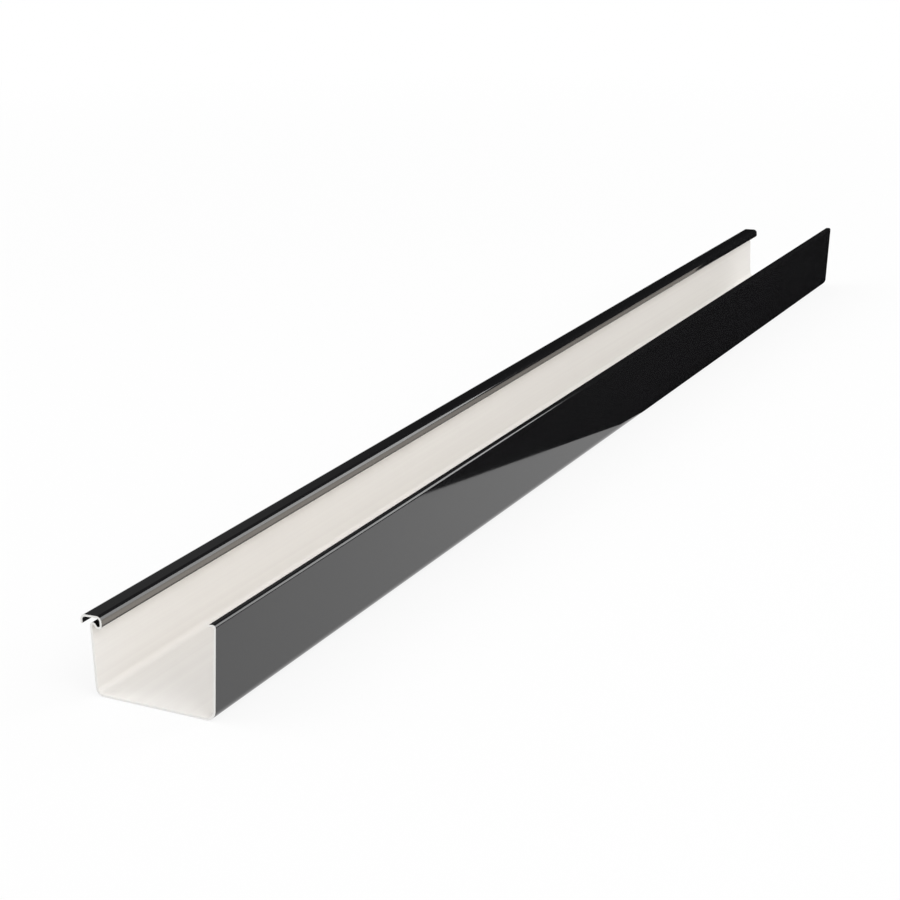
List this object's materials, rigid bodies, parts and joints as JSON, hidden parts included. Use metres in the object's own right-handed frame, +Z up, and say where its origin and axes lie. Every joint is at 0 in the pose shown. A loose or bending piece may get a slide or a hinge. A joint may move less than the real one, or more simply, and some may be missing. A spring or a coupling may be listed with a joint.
{
  "type": "gutter section",
  "caption": "Straight stick of box gutter: flat bottom, tall back wall with a small lip, lower front wall with a folded hook rim.",
  "frame": {"origin": "middle of the flat underside, halfway along the length", "axes": "+X along the length, +Z up out of the open side, -Y towards the tall back wall, +Y towards the hook rim"},
  "size_m": [2, 0.1593, 0.1029],
  "materials": {
    "gutter_plastic": "gloss black outside, satin off-white inside the channel"
  },
  "bodies": {
    "root": {"gutter_section": "gutter_plastic"}
  },
  "joints": []
}
